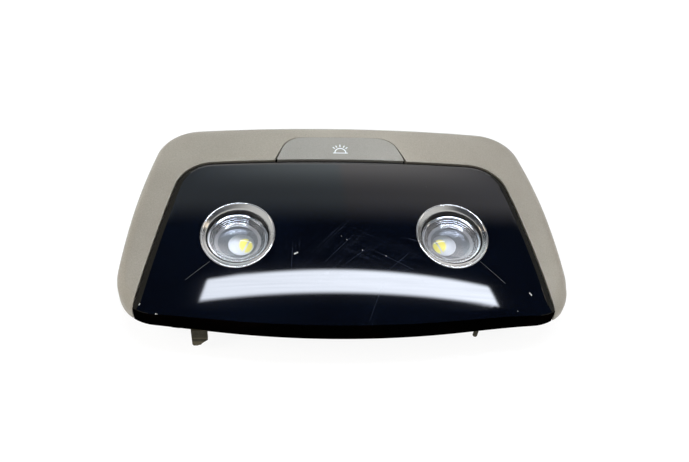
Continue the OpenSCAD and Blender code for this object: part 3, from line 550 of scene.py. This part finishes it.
def rod(bm, low, high, radius, along="Z", steps=32):
    """a round bar between two ends in millimetres, along one axis"""
    middle, length = [(a + b) / 2000 for a, b in zip(low, high)], sum(b - a for a, b in zip(low, high)) / 1000
    turn = {"Z": Matrix(), "X": Matrix.Rotation(pi / 2, 4, "Y"), "Y": Matrix.Rotation(pi / 2, 4, "X")}[along]
    bmesh.ops.create_cone(bm, cap_ends=True, segments=steps, radius1=radius / 1000, radius2=radius / 1000,
                          depth=length, matrix=Matrix.Translation(middle) @ turn)


arm_x, pin_y, pin_z = 17, 44.9, 28.6
bm = bmesh.new()
for side in (-1, 1):
    inner, outer = side * arm_x - 1.2, side * arm_x + 1.2
    block(bm, (inner, 39.4, 26.6), (outer, 42.0, 32.6))
    block(bm, (inner, 41.8, 26.6), (outer, pin_y, 30.6))
    rod(bm, (inner, pin_y, pin_z), (outer, pin_y, pin_z), 2.0, "X")
    rod(bm, (min(side * 16, side * 21), pin_y, pin_z), (max(side * 16, side * 21), pin_y, pin_z), 1.25, "X")
    block(bm, (side * arm_x - 0.5, 30.5, 29.5), (side * arm_x + 0.5, 40, 32.4))
rod(bm, (-12, 33.1, 18.8), (-12, 33.1, 33.2), 1.8)
block(bm, (-12.5, 29.6, 27.0), (-11.5, 40.4, 32.6))
smoothed(bm, 0.7)
button_arms = keep(bm, "button_arms")
edge_broken(button_arms, 0.0002)

button_grey = grey_paint.copy()
button_grey.name = "button grey"
paint = button_grey.node_tree.nodes["paint"]
paint.inputs[6].default_value = (0.234, 0.228, 0.206, 1)
paint.inputs[7].default_value = (0.292, 0.285, 0.260, 1)
for piece in (button_cap, button_arms):
    piece.data.materials.append(button_grey)
    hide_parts("dome_button")
    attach(piece, "button")

sign_size, sign_middle, sign_proud, stroke = 1.1, (-0.0006, 0.0322, 0), 0.00005, 0.0004
bm = bmesh.new()
arch = [bm.verts.new((r / 1000, 0, 0)) for r in (2.05, 2.45)]
bmesh.ops.spin(bm, geom=arch + [bm.edges.new(arch)], cent=(0, 0, 0), axis=(0, 0, 1), angle=pi, steps=20)
bmesh.ops.scale(bm, vec=(1, 1.2, 1), verts=bm.verts)
strokes = [((-3.0, -0.05), (3.0, -0.05)), ((0, 3.55), (0, 4.95))]
strokes += [((side * a, b), (side * c, d)) for side in (-1, 1)
            for a, b, c, d in ((1.25, 3.2, 1.8, 4.35), (2.2, 2.55, 2.95, 3.45))]
for start, end in strokes:
    run, lean = run_and_lean(start, end)
    middle = Matrix.Translation(((start[0] + end[0]) / 2000, (start[1] + end[1]) / 2000, 0))
    bmesh.ops.create_grid(bm, x_segments=2, y_segments=1, size=0.5,
                          matrix=middle @ Matrix.Rotation(lean, 4, "Z") @ Matrix.Diagonal((run / 1000, stroke, 1, 1)))
bmesh.ops.recalc_face_normals(bm, faces=bm.faces)
raised(bm, sign_proud)
bmesh.ops.scale(bm, vec=(sign_size, sign_size, 1), verts=bm.verts)
bmesh.ops.translate(bm, verts=bm.verts, vec=sign_middle)
for v in bm.verts:
    v.co.z += crown(v.co.x, v.co.y) - bezel_drop - 0.00002
bmesh.ops.recalc_face_normals(bm, faces=bm.faces)
button_sign = keep(bm, "button_sign")
sign_white = clouded("sign white", (0.66, 0.72, 0.76), (0.80, 0.86, 0.90), 900.0, 0.4, detail=2.0)
button_sign.data.materials.append(sign_white)
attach(button_sign, "button")

# Trim rings: plated rings round the lamps, each with a thin bright lip on the panel and a cone
# that leads down to the lens. They are pressed into the openings of the panel.
lamp_face = crown(lamp_x, lamp_y)


def from_axis(spot, side):
    """how far a point lies from a lamp's axis"""
    return hypot(spot.x - side * lamp_x, spot.y - lamp_y)


def spun(profile, side, segments=128):
    """a turned piece on a lamp's axis, from a profile of radius and height in millimetres"""
    bm = bmesh.new()
    spots = [bm.verts.new((r / 1000, 0, z / 1000)) for r, z in profile]
    edges = [bm.edges.new(pair) for pair in zip(spots, spots[1:])]
    bmesh.ops.spin(bm, geom=spots + edges, cent=(0, 0, 0), axis=(0, 0, 1), angle=2 * pi, steps=segments,
                   use_merge=True)
    bmesh.ops.remove_doubles(bm, verts=bm.verts, dist=2e-6)
    bmesh.ops.recalc_face_normals(bm, faces=bm.faces)
    bmesh.ops.translate(bm, verts=bm.verts, vec=(side * lamp_x, lamp_y, 0))
    return bm


chrome = clouded("chrome", (0.74, 0.75, 0.77), (0.86, 0.87, 0.88), 700.0, (0.05, 0.14),
                 span=(0.3, 0.8), constants={"Metallic": 1.0})
satin_chrome = clouded("satin chrome", (0.47, 0.47, 0.46), (0.60, 0.60, 0.59), 260.0, (0.20, 0.28),
                       span=(0.3, 0.8), constants={"Metallic": 1.0})
black_plastic = clouded("black plastic", (0.009, 0.009, 0.010), (0.017, 0.017, 0.018), 1500.0, (0.38, 0.55))
face = lamp_face * 1000
ring_depth = 4.0
ring_profile = [(15.4, face - ring_depth), (15.4, face + 0.05), (15.33, face + 0.18), (15.15, face + 0.25),
                (14.9, face + 0.2), (14.78, face + 0.02), (14.6, face - 0.12), (14.15, face - 0.45),
                (13.7, face - 0.8), (13.3, face - 1.1), (13.15, face - 1.3), (13.15, face - ring_depth),
                (15.4, face - ring_depth)]
bore_r, cone_r, ring_foot = 0.01318, 0.0147, lamp_face - 0.0039
bent_over = 0.0032
for side, name in ((-1, "left"), (1, "right")):
    bm = spun(ring_profile, side)
    for f in bm.faces:
        spot = f.calc_center_median()
        if from_axis(spot, side) < bore_r or spot.z < ring_foot:
            f.material_index = 1
        elif from_axis(spot, side) < cone_r:
            f.material_index = 2
    for v in bm.verts:
        share = min(1.0, max(0.0, (v.co.z - lamp_face + bent_over) / bent_over))
        v.co.z += share * (crown(v.co.x, v.co.y) - lamp_face)
    smoothed(bm, 0.9)
    ring = keep(bm, "chrome_ring_" + name)
    for finish in (chrome, black_plastic, satin_chrome):
        ring.data.materials.append(finish)
    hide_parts("trim_ring_" + name)
    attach(ring, "housing")

# Lenses: each a clear stepped cover over a silvered cup, with a frosted dome in its middle that shows the yellow of
# the lamp behind it.
# The cup's step tops, inner slopes and floor carry painted shade; the dome carries painted light and shade and a
# painted highlight.
# Cover, cup and dome are snapped together and can be pressed.
lens_top = face - 2.6
clear = clouded("clear lens", (0.95, 0.97, 1.0), (0.98, 0.99, 1.0), 500.0, (0.015, 0.05),
                detail=2.0, span=(0.3, 0.8), constants={"IOR": 1.49, "Transmission Weight": 1.0})
silver = clouded("silvered cup", (0.80, 0.82, 0.85), (0.90, 0.92, 0.95), 600.0, (0.10, 0.18),
                 constants={"Metallic": 1.0})
# Darker copies of the cup's silver for its flat step tops, the slopes inside them and its recessed floor: painted
# shade on one silvered cup.
shaded_step_coat = clouded("step, painted shade", (0.045, 0.043, 0.048), (0.090, 0.086, 0.094), 600.0, (0.12, 0.20),
                 constants={"Metallic": 0.8})
shaded_dish_coat = clouded("satin dish, painted shade", (0.13, 0.14, 0.16), (0.22, 0.235, 0.26), 600.0, (0.30, 0.40),
                 constants={"Metallic": 0.6})
half_shaded_ring_coat = clouded("ring, painted shade", (0.26, 0.27, 0.29), (0.38, 0.39, 0.41), 600.0, (0.34, 0.42),
                    constants={"Metallic": 0.5})

frosted, tree, shader, place = material("frosted dome, painted light and highlight")
part = node(tree, "ShaderNodeSeparateXYZ", {0: place})
dome_shift, dome_r = {"left": 0.0014, "right": 0.0028}, 5.6
# The dome's colour runs from pale bluish on its outer front side to dark grey towards the middle and rear: painted
# light and shade.
middle = maths(tree, "MULTIPLY_ADD", maths(tree, "SIGN", part.outputs["X"]), -0.0007, lamp_x - 0.0021)
inward = maths(tree, "SUBTRACT", middle, maths(tree, "ABSOLUTE", part.outputs["X"]))
onward = maths(tree, "SUBTRACT", part.outputs["Y"], lamp_y)
cloud = node(tree, "ShaderNodeTexNoise", {"Vector": place, "Scale": 320.0, "Detail": 3.0}).outputs["Fac"]
shaded = maths(tree, "MULTIPLY_ADD", inward, 0.45, maths(tree, "MULTIPLY_ADD", cloud, 0.003, onward))
milk_and_painted_shade = tinted(tree, ramp(tree, shaded, -0.0005, 0.0055), (0.66, 0.71, 0.80), (0.20, 0.22, 0.24))
offset = node(tree, "ShaderNodeCombineXYZ", {
    0: maths(tree, "MULTIPLY_ADD", inward, 1 / 0.0031, -0.0020 / 0.0031),
    1: maths(tree, "MULTIPLY_ADD", onward, 1 / 0.0036, 0.0013 / 0.0036)}).outputs[0]
field = node(tree, "ShaderNodeVectorMath", {0: offset}, operation="LENGTH").outputs["Value"]
across_line = maths(tree, "ADD", maths(tree, "MULTIPLY_ADD", inward, 0.917, -0.0033),
                    maths(tree, "MULTIPLY_ADD", onward, -0.399, 0.0006))
lit_field = maths(tree, "MULTIPLY", ramp(tree, field, 0.72, 1.08, 1.0, 0.0),
                  ramp(tree, maths(tree, "ABSOLUTE", across_line), 0.0002, 0.0005))
yolk = tinted(tree, cloud, (0.84, 0.76, 0.10), (0.92, 0.85, 0.20))
# A thin pale arc above the yellow field: a painted highlight.
painted_glint_line = maths(tree, "MULTIPLY_ADD", maths(tree, "POWER", inward, 2.0), -20.0, 0.0009)
painted_glint = maths(tree, "ABSOLUTE", maths(tree, "SUBTRACT", onward, painted_glint_line))
painted_glint = maths(tree, "MULTIPLY", ramp(tree, painted_glint, 0.0001, 0.0003, 1.0, 0.0),
              maths(tree, "COMPARE", inward, 0.0019, 0.0024))
skin = tinted(tree, painted_glint, tinted(tree, lit_field, milk_and_painted_shade, yolk), (0.92, 0.94, 0.98))
tree.links.new(skin, shader.inputs["Base Color"])
shader.inputs["Roughness"].default_value = 0.30

cup_foot = 17.2 - lens_top
cover_front = [(12.5, -0.35), (12.5, -0.15), (12.35, 0), (11.6, -0.05), (11.45, -0.12), (11.4, -0.75),
               (10.9, -0.8), (10.82, -1.25), (10.3, -1.3), (10.22, -1.75), (9.7, -1.8), (9.6, -2.2),
               (9.3, -2.3), (8.4, -2.6), (8.2, -2.7), (0, -2.7)]
cover_back = [(0, -2.95), (8.2, -2.95), (8.4, -2.9), (9.3, -2.6), (9.65, -2.55), (9.75, -2.1),
              (10.26, -2.05), (10.35, -1.6), (10.86, -1.55), (10.95, -1.1), (11.45, -1.05), (11.5, -0.45),
              (12.35, -0.35), (12.5, -0.35)]
cup_profile = [(0, cup_foot), (5.0, cup_foot), (11.2, -3.0), (12.5, -3.0), (12.5, -0.55), (12.3, -0.42),
               (11.7, -0.62), (11.55, -0.80), (11.5, -1.2), (11.1, -1.2), (10.98, -1.25), (10.9, -1.7),
               (10.5, -1.7), (10.38, -1.75), (10.3, -2.2), (9.9, -2.2), (9.78, -2.25), (9.7, -2.7),
               (9.3, -2.8), (8.4, -3.1), (8.3, -4.4), (6.0, -5.5), (0, -5.5)]
dome_profile = [(0, -5.6), (dome_r, -5.6)]
dome_profile += [(dome_r * k / 12, -5.0 + 1.8 * (1 - (k / 12) ** 2)) for k in range(12, -1, -1)]


def seated(profile):
    """a profile given below the lens's top, as heights in the frame"""
    return [(r, lens_top + z) for r, z in profile]


dish_r, pale_r, steps_r = 0.0084, 0.0097, 0.0115
for side, name in ((-1, "left"), (1, "right")):
    bm = spun(seated(cover_front + cover_back), side)
    smoothed(bm, 0.6)
    lens = keep(bm, "clear_lens_" + name)
    lens.data.materials.append(clear)
    lens.visible_shadow = False
    bm = spun(seated(cup_profile), side)
    for f in bm.faces:
        out = from_axis(f.calc_center_median(), side)
        # flat step tops take the darkest silver, the slopes inside them a dark grey and the recessed floor a grey:
        # painted shade
        if f.normal.z > 0.5 and out < steps_r:
            f.material_index = 2 if out < dish_r else 3 if out < pale_r else 1 if f.normal.z > 0.99 else 0
    smoothed(bm, 0.6)
    cup = keep(bm, "silver_cup_" + name)
    for coat in (silver, shaded_step_coat, shaded_dish_coat, half_shaded_ring_coat):
        cup.data.materials.append(coat)
    bm = spun(seated(dome_profile), side)
    bmesh.ops.translate(bm, verts=bm.verts, vec=(-side * dome_shift[name], 0, 0))
    smoothed(bm, 0.6)
    dome = keep(bm, "frosted_dome_" + name)
    dome.data.materials.append(frosted)
    for piece, slot in ((lens, "clear_lens"), (cup, "chrome"), (dome, "led")):
        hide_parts("lens_" + name)
        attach(piece, name + "_lens")

# Lamps: a light-emitting diode for each lens, soldered to the board, with a yellow phosphor in two
# fields on a white package.
package_white = clouded("package white", (0.74, 0.76, 0.80), (0.84, 0.86, 0.88), 900.0, 0.35, detail=2.0)
phosphor = clouded("phosphor", (0.86, 0.80, 0.16), (0.93, 0.90, 0.30), 1200.0, 0.4, detail=2.0)
board_top = 14.4
for side, name in ((-1, "left"), (1, "right")):
    bm = bmesh.new()
    x, y = side * lamp_x * 1000, lamp_y * 1000
    block(bm, (x - 2.6, y - 2.9, board_top), (x + 2.6, y + 2.9, board_top + 0.8))
    rod(bm, (x, y, board_top + 0.6), (x, y, board_top + 1.5), 2.45, steps=64)
    for low, high in (((-1.6, -1.4), (0.5, 1.4)), ((0.8, -1.4), (1.6, 1.4))):
        before = set(bm.faces)
        near, far = sorted((x - side * low[0], x - side * high[0]))
        block(bm, (near, y + low[1], board_top + 1.4), (far, y + high[1], board_top + 1.65))
        for f in set(bm.faces) - before:
            f.material_index = 1
    diode = keep(bm, "diode_" + name)
    edge_broken(diode, 0.0002)
    diode.data.materials.append(package_white)
    diode.data.materials.append(phosphor)
    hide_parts("led_" + name)
    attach(diode, "housing")

# Everything behind the face: carrier, sleeves, board, switches, rear cover and fixings, as moulded,
# stamped or soldered. They are screwed or snapped together from the rear.


def grained(name, dark, pale, scale, matt, polished, metallic=0.0, relief=0.0):
    """a finish with a fine grain in its colour, its shine and its relief"""
    made, tree, shader, place = material(name)
    grain = node(tree, "ShaderNodeTexNoise", {"Vector": place, "Scale": scale, "Detail": 3.0}).outputs["Fac"]
    broad = node(tree, "ShaderNodeTexNoise", {"Vector": place, "Scale": 45.0, "Detail": 2.0}).outputs["Fac"]
    mixed = ramp(tree, maths(tree, "MULTIPLY_ADD", broad, 0.6, grain), 0.55, 1.05)
    tree.links.new(tinted(tree, mixed, dark, pale), shader.inputs["Base Color"])
    tree.links.new(ramp(tree, grain, 0.3, 0.7, matt, polished), shader.inputs["Roughness"])
    shader.inputs["Metallic"].default_value = metallic
    if relief:
        bump = node(tree, "ShaderNodeBump", {"Height": grain, "Strength": 0.5, "Distance": relief})
        tree.links.new(bump.outputs["Normal"], shader.inputs["Normal"])
    return made


grey_moulding = grained("grey moulding", (0.025, 0.0225, 0.014), (0.035, 0.032, 0.021), 1400, 0.70, 0.60,
                        relief=0.00002)
tree = grey_moulding.node_tree
shader = tree.nodes["Principled BSDF"]
shader.inputs["Specular IOR Level"].default_value = 0.1
plain = shader.inputs["Base Color"].links[0].from_socket
height = node(tree, "ShaderNodeSeparateXYZ", {0: tree.nodes["Texture Coordinate"].outputs["Object"]}).outputs["Z"]
# The moulding is paler below about 6 mm and along thin lines at 6.3 and 9.1 mm.
paler_marks = ramp(tree, height, 0.0060, 0.0064, 0.45, 0.0)
for step_z in (0.0063, 0.0091):
    line = ramp(tree, maths(tree, "ABSOLUTE", maths(tree, "SUBTRACT", height, step_z)), 0.0001, 0.0003, 0.6, 0.0)
    paler_marks = maths(tree, "MAXIMUM", paler_marks, line)
tree.links.new(tinted(tree, paler_marks, plain, (0.150, 0.130, 0.088)), shader.inputs["Base Color"])
natural_white = grained("natural white", (0.66, 0.65, 0.60), (0.76, 0.75, 0.70), 800, 0.45, 0.32)
board_green = grained("board green", (0.010, 0.060, 0.026), (0.020, 0.105, 0.045), 260, 0.35, 0.22)
zinc = grained("zinc plate", (0.50, 0.50, 0.47), (0.68, 0.67, 0.62), 1100, 0.34, 0.22, metallic=1.0)
spring_steel = grained("spring steel", (0.42, 0.41, 0.39), (0.58, 0.57, 0.54), 500, 0.36, 0.24, metallic=1.0)
tinned = grained("tinned contact", (0.62, 0.54, 0.34), (0.76, 0.68, 0.46), 900, 0.32, 0.20, metallic=1.0)
can = grained("plain can", (0.50, 0.50, 0.52), (0.64, 0.64, 0.66), 700, 0.40, 0.28, metallic=0.9)
resistor_body = grained("resistor body", (0.045, 0.036, 0.030), (0.075, 0.062, 0.052), 1500, 0.5, 0.4)
ferrite = grained("ferrite", (0.040, 0.038, 0.038), (0.070, 0.067, 0.065), 1800, 0.75, 0.6, relief=0.00003)
cover_black = grained("cover black", (0.012, 0.012, 0.012), (0.022, 0.022, 0.023), 2600, 0.62, 0.48, relief=0.00004)
guide_clear = clear.copy()
guide_clear.name = "clear guide"
finishes = {
    grey_moulding: ("carrier_frame",),
    black_plastic: ("lens_sleeve_left", "lens_sleeve_right", "button_switch", "switch_left", "switch_right",
                    "driver_chip"),
    natural_white: ("button_plunger", "plunger_left", "plunger_right", "connector_shell"),
    board_green: ("circuit_board",),
    zinc: ("board_screws", "cover_screws"),
    spring_steel: ("spring_clip_left", "spring_clip_right"),
    tinned: ("connector_pins",),
    can: ("capacitors",),
    resistor_body: ("resistors",),
    ferrite: ("power_coil",),
    cover_black: ("rear_cover",),
    guide_clear: ("icon_light_guide",),
    package_white: ("icon_led",)}
for finish, names in finishes.items():
    for name in names:
        nodes[name].data.materials.clear()
        nodes[name].data.materials.append(finish)
